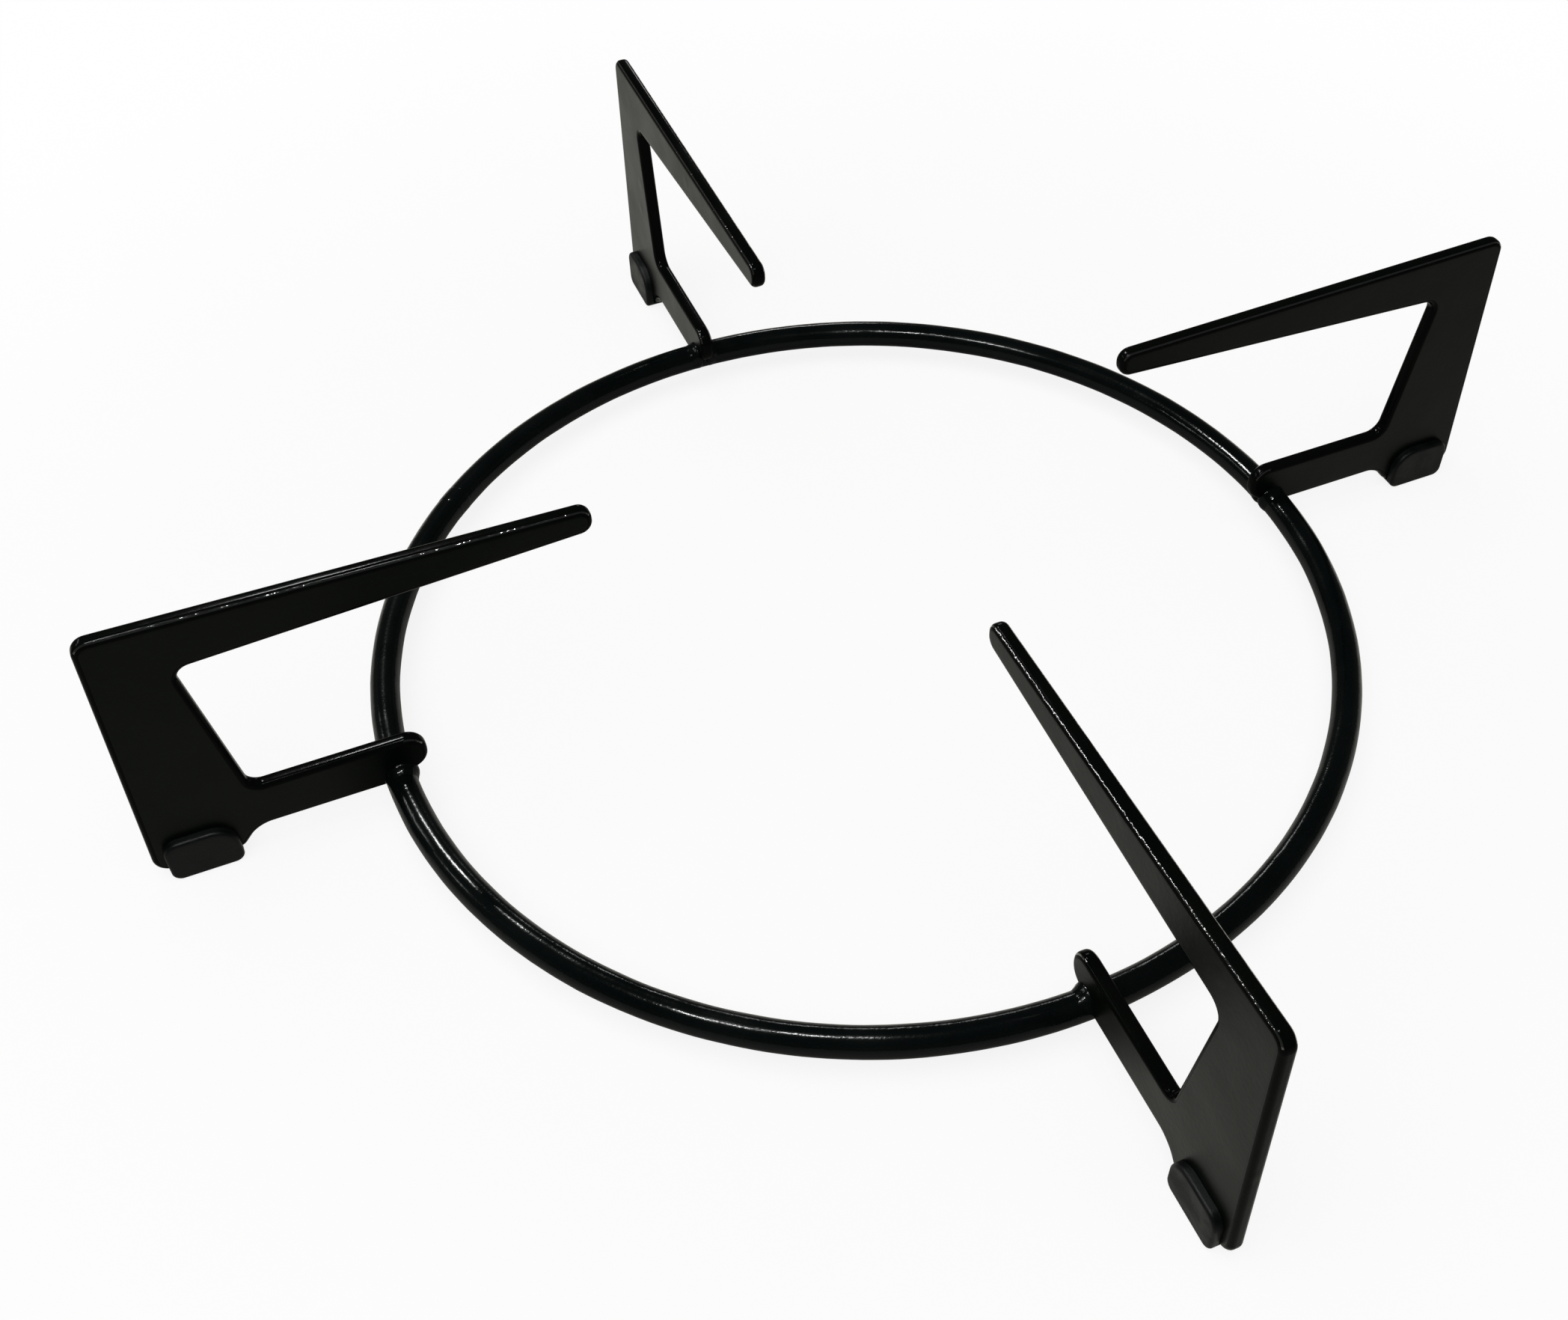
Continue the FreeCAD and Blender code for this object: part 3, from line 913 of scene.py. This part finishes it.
    def zone(self, polygon: bpy.types.MeshPolygon, across: Vector) -> Zone:
        """Zone that one face of the mesh belongs to, by how far it faces across the plate.

        Args:
            polygon: The face.
            across: Direction through the plate.

        Returns:
            The zone.
        """
        facing = abs(polygon.normal.dot(across))
        if facing > self.flat_facing:
            return Zone.FACE
        least, most = self.brow_facing
        low_bar = polygon.center.z < self.low_bar_height and polygon.center.xy.length > RING_RADIUS
        if least < facing < most and polygon.normal.z > self.brow_lift and not low_bar:
            return Zone.BROW
        return Zone.RIM

    def dress(self, arm: bpy.types.Object, side: Side) -> None:
        """Give an arm its enamel: satin faces, dull rims and glossy brows.

        Args:
            arm: The arm.
            side: Where it stands.
        """
        for zone in Zone:
            arm.data.materials.append(zone.value.material())
        across = Matrix.Rotation(math.radians(side.value), 3, "Z") @ Vector((0.0, 1.0, 0.0))
        for polygon in arm.data.polygons:
            polygon.material_index = list(Zone).index(self.zone(polygon, across))
        hand_over(arm, f"{side.label}_arm")


@dataclass
class WeldBead:
    """Fillet weld between one face of an arm and the wire.

    Beside the plate the bead stands out from the wire by its leg, and its
    centre lies above the wire's by its rise and inside it by its lean. All
    three fade along the run to the toe, which lies just under the wire's skin.
    """

    arm: PlateArm
    leg: float = 0.25 * MM
    rise: float = 0.8 * MM
    lean: float = 0.6 * MM
    run: float = 2.6 * MM
    toe: float = -0.14 * MM
    steps: int = 8
    hollow: float = 1.7
    section_corners: int = 48
    lump_grain: float = 2.0 * MM
    lump_height: float = 0.24 * MM
    smooth_angle: float = 60.0

    def section(self, step: int) -> tuple[float, float, float]:
        """Section of the bead, some steps away from the plate.

        Args:
            step: Number of steps.

        Returns:
            The section's radius, and how far its centre lies above and inside the wire's.
        """
        fade = (1 - step / self.steps) ** self.hollow
        return WIRE_RADIUS + self.toe + (self.leg - self.toe) * fade, self.rise * fade, self.lean * fade

    def build(self, face: int) -> bpy.types.Object:
        """Model the bead on one face of the right arm.

        Args:
            face: 1 for the face that looks along +Y, or -1.

        Returns:
            The bead.
        """
        half, stride = self.arm.thickness / 2, self.run / self.steps
        radius, rise, lean = self.section(0)
        Bench.clear()
        bpy.ops.mesh.primitive_cylinder_add(
            vertices=self.section_corners, radius=radius, depth=half,
            location=(RING_RADIUS - lean, face * half / 2, WIRE_HEIGHT + rise),
            rotation=(math.pi / 2, 0.0, 0.0),
        )
        bead = Bench.start(f"right_bead_{Side.RIGHT.outlook(face)}")
        Bench.edit(bead)
        for step in range(1, self.steps + 1):
            end = face * (half + stride * (step - 1))
            next_radius, next_rise, next_lean = self.section(step)
            Bench.pick_ends(bead, lambda place: abs(place.y - end) < SAME_PLACE)
            bpy.ops.mesh.extrude_region_move(
                TRANSFORM_OT_translate={"value": (lean - next_lean, face * stride, next_rise - rise)},
            )
            bpy.ops.transform.resize(
                value=(next_radius / radius, 1.0, next_radius / radius),
                center_override=(RING_RADIUS - next_lean, 0.0, WIRE_HEIGHT + next_rise),
            )
            radius, rise, lean = next_radius, next_rise, next_lean
        Bench.close()
        Bench.subdivide(bead)
        Bench.roughen(bead, self.lump_grain, self.lump_height)
        Bench.smooth(bead, self.smooth_angle)
        return bead

    def dress(self, bead: bpy.types.Object, node: str) -> None:
        """Give a bead its enamel."""
        bead.data.materials.append(WELD_ENAMEL.material())
        hand_over(bead, node)


@dataclass
class RubberBoot:
    """Slotted rubber boot on the foot tab of an arm."""

    arm: PlateArm
    wall: float = 1.8 * MM
    cover: float = 8.6 * MM
    setback: float = 2.7 * MM
    end_gap: float = 0.3 * MM
    inner_round: float = 5.0 * MM
    outer_round: float = 3.0 * MM
    sole_round: float = 2.0 * MM
    edge_round: float = 0.7 * MM
    film_width: float = 0.6 * MM
    clearance: float = 0.05 * MM
    round_segments: int = 8
    edge_segments: int = 5
    smooth_angle: float = 40.0

    def build(self) -> bpy.types.Object:
        """Model the boot of the right arm.

        Returns:
            The boot.
        """
        inner = self.arm.foot_reach - self.arm.foot_width + self.end_gap
        outer = self.arm.foot_reach - self.setback
        top = self.arm.sole_thickness + self.cover
        half = self.arm.thickness / 2 + self.wall
        Bench.clear()
        bpy.ops.mesh.primitive_cube_add(
            size=1.0, location=((inner + outer) / 2, 0.0, top / 2), scale=(outer - inner, 2 * half, top),
        )
        boot = Bench.start("rubber_right_boot")
        Bench.edit(boot)
        for reach, height, radius in (
            (inner, top, self.inner_round), (outer, top, self.outer_round),
            (inner, 0.0, self.sole_round), (outer, 0.0, self.sole_round),
        ):
            Bench.pick_cross_edge(boot, reach, height)
            Bench.bevel(radius, self.round_segments)
        Bench.soften_faces(boot, half, self.edge_round, self.edge_segments, self.film_width)
        Bench.close()
        Bench.cut(boot, self.slot_tool(inner, outer, top))
        Bench.smooth(boot, self.smooth_angle)
        return boot

    def slot_tool(self, inner: float, outer: float, top: float) -> bpy.types.Object:
        """Block that cuts the slot for the foot tab.

        Args:
            inner: Reach of the boot's inner end.
            outer: Reach of the boot's outer end.
            top: Height of the boot.

        Returns:
            The block.
        """
        Bench.clear()
        bpy.ops.mesh.primitive_cube_add(
            size=1.0, location=((inner + outer) / 2, 0.0, self.arm.sole_thickness + top / 2),
            scale=(2 * (outer - inner), self.arm.thickness + 2 * self.clearance, top),
        )
        return Bench.start("slot_tool")

    def dress(self, boot: bpy.types.Object, side: Side) -> None:
        """Give a boot its rubber."""
        boot.data.materials.append(BOOT_RUBBER.material())
        hand_over(boot, f"{side.label}_boot")


@dataclass
class Lamp:
    """Oblong studio lamp that looks at the stand, or straight down.

    The level is the share of a white floor's brightness that the lamp would
    give under the stand. A lamp can be left out of the gloss, so that it only
    lights, or out of the matte light, so that it only glints.
    """

    name: str
    place: tuple[float, float, float]
    size: tuple[float, float]
    level: float
    looks_down: bool = False
    in_gloss: bool = True
    in_matte: bool = True

    def hang(self) -> None:
        """Hang the lamp in its place, at its level."""
        place = Vector(self.place)
        rise = place.normalized().z
        data = bpy.data.lights.new(self.name, "AREA")
        data.shape = "RECTANGLE"
        data.size, data.size_y = self.size
        facing = rise if self.looks_down else 1.0
        data.energy = self.level * math.pi ** 2 * place.length_squared / (rise * facing)
        lamp = bpy.data.objects.new(self.name, data)
        lamp.location = place
        if not self.looks_down:
            lamp.rotation_euler = place.to_track_quat("Z", "Y").to_euler()
        lamp.visible_camera = False
        lamp.visible_diffuse = self.in_matte
        lamp.visible_glossy = self.in_gloss
        bpy.context.scene.collection.objects.link(lamp)


@dataclass
class Paper:
    """Pale paper of the floor.

    It keeps the stand's shadow, and looks nearly white to the camera and in the gloss. What the gloss
    mirrors of it is a painted reflection: slightly warm, with painted shade beside the wire and painted
    darkness far off.
    Reaches are distances from the axis of the ring.
    """

    colour: Colour = (0.9, 0.9, 0.895)
    shade_share: float = 0.985
    fibre_scale: float = 6.0
    roughness: float = 0.9
    glow: tuple[float, float] = (0.86, 0.99)
    glow_reach: tuple[float, float] = (0.1, 0.34)
    # Painted reflection: a warm tint that only the gloss sees.
    painted_reflection_tint: Colour = (1.0, 1.0, 0.9)
    # Painted shade in the reflection beside the wire, standing in for the wire's shadow on the paper.
    painted_shade_beside_wire: tuple[float, float] = (2.0 * MM, 16.0 * MM)
    painted_shade_level: float = 0.2
    # Painted darkness in the reflection far off, standing in for a dark room past the lit paper.
    painted_dark_reach: tuple[float, float] = (0.25, 0.6)
    painted_dark_level: float = 0.2

    def painted_reflection(self, graph: Graph, reach: bpy.types.NodeSocket) -> bpy.types.NodeSocket:
        """Painted reflection of the paper that the gloss mirrors: slightly warm, with painted shade beside
        the wire and painted darkness far off.

        Args:
            graph: Nodes of the material.
            reach: Distance from the axis of the ring.

        Returns:
            The colour.
        """
        # Painted shade beside the wire, darker where the wire would shadow the paper; only the gloss sees
        # it.
        beside = graph.math("ABSOLUTE", graph.math("SUBTRACT", reach, RING_RADIUS))
        near = graph.ramp(beside, self.painted_shade_beside_wire, (self.painted_shade_level, 1.0))
        # Painted darkness far off; only the gloss sees it.
        far = graph.ramp(reach, self.painted_dark_reach, (1.0, self.painted_dark_level))
        return graph.blend(graph.math("MULTIPLY", near, far), (0.0, 0.0, 0.0), self.painted_reflection_tint)

    def material(self) -> bpy.types.Material:
        """Make the material of the paper.

        Returns:
            The material.
        """
        made = bpy.data.materials.new("pale_paper")
        made.use_nodes = True
        graph = Graph(made.node_tree)
        output = graph.add("ShaderNodeOutputMaterial")
        paper = graph.add("ShaderNodeBsdfPrincipled", Roughness=self.roughness, Specular_IOR_Level=0.0)
        fibre = PATCHES.place(graph, Scale=self.fibre_scale).outputs["Mask"]
        shade = tuple(self.shade_share * part for part in self.colour)
        graph.link(graph.blend(fibre, self.colour, shade), paper.inputs["Base Color"])
        reach = graph.add("ShaderNodeVectorMath", operation="LENGTH")
        graph.link(graph.coordinates(), reach.inputs[0])
        path = graph.add("ShaderNodeLightPath")
        glow = graph.add("ShaderNodeEmission", Strength=1.0)
        # The camera sees plain white; the gloss sees the painted reflection.
        white_or_painted_reflection = graph.blend(
            path.outputs["Is Camera Ray"], self.painted_reflection(graph, reach.outputs["Value"]), (1.0, 1.0, 1.0),
        )
        graph.link(white_or_painted_reflection, glow.inputs["Color"])
        seen = graph.math("MAXIMUM", path.outputs["Is Camera Ray"], path.outputs["Is Glossy Ray"])
        seen = graph.math("MAXIMUM", seen, path.outputs["Is Transmission Ray"])
        share = graph.ramp(reach.outputs["Value"], self.glow_reach, self.glow)
        mixed = graph.add("ShaderNodeMixShader")
        graph.link(graph.math("MULTIPLY", seen, share), mixed.inputs[0])
        graph.link(paper.outputs["BSDF"], mixed.inputs[1])
        graph.link(glow.outputs["Emission"], mixed.inputs[2])
        graph.link(mixed.outputs["Shader"], output.inputs["Surface"])
        return made


@dataclass
class Floor:
    """Round floor that curves up at its rim."""

    paper: Paper = field(default_factory=Paper)
    corners: int = 96
    radius: float = 2.2
    bend: float = 0.5
    bend_steps: int = 6
    rim_height: float = 1.3
    smooth_angle: float = 40.0

    def rim(self) -> list[tuple[float, float]]:
        """Lay out the rim.

        Returns:
            Radius and height of each step, from the floor upwards.
        """
        turns = [math.radians(90.0 * step / self.bend_steps) for step in range(1, self.bend_steps + 1)]
        curve = [
            (self.radius + self.bend * math.sin(turn), self.bend * (1 - math.cos(turn))) for turn in turns
        ]
        return [*curve, (self.radius + self.bend, self.rim_height)]

    def build(self) -> None:
        """Model the floor as one sheet."""
        Bench.clear()
        bpy.ops.mesh.primitive_circle_add(vertices=self.corners, radius=self.radius, fill_type="NGON")
        floor = Bench.start("studio_floor")
        Bench.edit(floor)
        radius, height = self.radius, 0.0
        for next_radius, next_height in self.rim():
            Bench.pick(
                floor, Pick.EDGES,
                lambda edge: edge.is_boundary and all(abs(v.co.z - height) < SAME_PLACE for v in edge.verts),
            )
            bpy.ops.mesh.extrude_edges_move(
                TRANSFORM_OT_translate={"value": (0.0, 0.0, next_height - height)},
            )
            growth = next_radius / radius
            bpy.ops.transform.resize(value=(growth, growth, 1.0), center_override=(0.0, 0.0, next_height))
            radius, height = next_radius, next_height
        bpy.ops.mesh.select_all(action="SELECT")
        bpy.ops.mesh.normals_make_consistent(inside=True)
        bpy.ops.object.mode_set(mode="OBJECT")
        bpy.ops.object.shade_smooth_by_angle(angle=math.radians(self.smooth_angle))
        floor.data.materials.append(self.paper.material())


@dataclass
class Camera:
    """Camera that stands where the photograph was taken from.

    Angles are in degrees. The focal length and the image centre are in pixels
    of the photograph. Slide and lift move the camera off the line to the origin.
    """

    image_width: float = 2096.0
    image_height: float = 1764.0
    sensor_width: float = 36.0
    focal_pixels: float = 2373.2
    centre_pixels: tuple[float, float] = (1127.5, 889.2)
    elevation: float = 47.761
    turn: float = 22.991
    roll: float = -0.484
    distance: float = 388.856 * MM
    slide: tuple[float, float] = (-4.589 * MM, 3.731 * MM)
    lift: float = 11.35 * MM
    clip_start: float = 10.0 * MM

    def stand(self) -> None:
        """Stand the camera in its place, with its lens."""
        rise, roll = math.radians(self.elevation), math.radians(self.roll)
        back = Vector((0.0, -math.cos(rise), math.sin(rise)))
        right = Vector((1.0, 0.0, 0.0))
        up = back.cross(right)
        place = back * self.distance + right * self.slide[0] + up * self.slide[1]
        place -= Vector((0.0, 0.0, self.lift))
        rolled_right = right * math.cos(roll) + up * math.sin(roll)
        rolled_up = up * math.cos(roll) - right * math.sin(roll)
        axes = Matrix((rolled_right, rolled_up, back)).transposed().to_4x4()
        turn = Matrix.Rotation(-math.radians(self.turn), 4, "Z")
        data = bpy.data.cameras.new("camera")
        data.sensor_fit = "HORIZONTAL"
        data.sensor_width = self.sensor_width
        data.lens = self.focal_pixels / self.image_width * data.sensor_width
        data.shift_x = -(self.centre_pixels[0] - self.image_width / 2) / self.image_width
        data.shift_y = (self.centre_pixels[1] - self.image_height / 2) / self.image_width
        data.clip_start = self.clip_start
        camera = bpy.data.objects.new("camera", data)
        bpy.context.scene.collection.objects.link(camera)
        camera.matrix_world = turn @ Matrix.Translation(place) @ axes
        bpy.context.scene.camera = camera


@dataclass
class Studio:
    """Pale floor, one soft lamp, five small glints, an even dim sky and the camera."""

    floor: Floor = field(default_factory=Floor)
    camera: Camera = field(default_factory=Camera)
    sky: Colour = (0.14, 0.142, 0.145)
    lamps: tuple[Lamp, ...] = (
        Lamp("soft_box", (-0.35, -0.2, 1.25), (1.5, 1.5), 0.98, in_gloss=False),
        Lamp("glint_behind", (-0.092, 0.228, 0.342), (0.046, 0.04), 1.28, looks_down=True, in_matte=False),
        Lamp("glint_left", (-0.168, -0.068, 0.367), (0.028, 0.028), 0.8, looks_down=True, in_matte=False),
        Lamp("glint_right", (-0.074, -0.082, 0.367), (0.028, 0.028), 0.84, looks_down=True, in_matte=False),
        Lamp("glint_strip", (-0.4, 0.24, 0.27), (0.26, 0.035), 0.16, in_matte=False),
        Lamp("glint_far", (0.2, 0.56, 0.25), (0.1, 0.05), 0.054, in_matte=False),
    )

    def build_sky(self) -> None:
        """Light the stand from all round at a low even level."""
        world = bpy.data.worlds.new("even_sky")
        world.use_nodes = True
        world.node_tree.nodes["Background"].inputs["Color"].default_value = (*self.sky, 1.0)
        bpy.context.scene.world = world

    def build(self) -> None:
        """Set up the floor, the lamps, the sky and the camera."""
        self.floor.build()
        for lamp in self.lamps:
            lamp.hang()
        self.build_sky()
        self.camera.stand()
        bpy.context.scene.view_settings.view_transform = "Standard"
        log.info("studio: %d lamps", len(self.lamps))


@dataclass
class PanSupport:
    """Whole stand."""

    ring: WireRing = field(default_factory=WireRing)
    arm: PlateArm = field(default_factory=PlateArm)

    def build(self) -> None:
        """Model and dress every piece.

        The right arm's pieces are dressed last, so that the others are copied bare.
        """
        self.ring.dress(*self.ring.build())
        bead_kind, boot_kind = WeldBead(self.arm), RubberBoot(self.arm)
        first_arm, first_boot = self.arm.build(), boot_kind.build()
        first_beads = {face: bead_kind.build(face) for face in (1, -1)}
        for side in reversed(Side):
            arm, boot, beads = first_arm, first_boot, first_beads
            if side is not Side.RIGHT:
                arm = Bench.turned_copy(arm, f"enamelled_{side.label}_arm", side)
                boot = Bench.turned_copy(boot, f"rubber_{side.label}_boot", side)
                beads = {
                    face: Bench.turned_copy(bead, f"{side.label}_bead_{side.outlook(face)}", side)
                    for face, bead in beads.items()
                }
            self.arm.dress(arm, side)
            boot_kind.dress(boot, side)
            for face, bead in beads.items():
                bead_kind.dress(bead, f"{side.label}_arm_weld_{side.outlook(face)}")


def main() -> None:
    """Build the stand and its studio."""
    logging.basicConfig(level=logging.INFO, format="%(name)s: %(message)s")
    PanSupport().build()
    Studio().build()


if __name__ == "__main__":
    main()
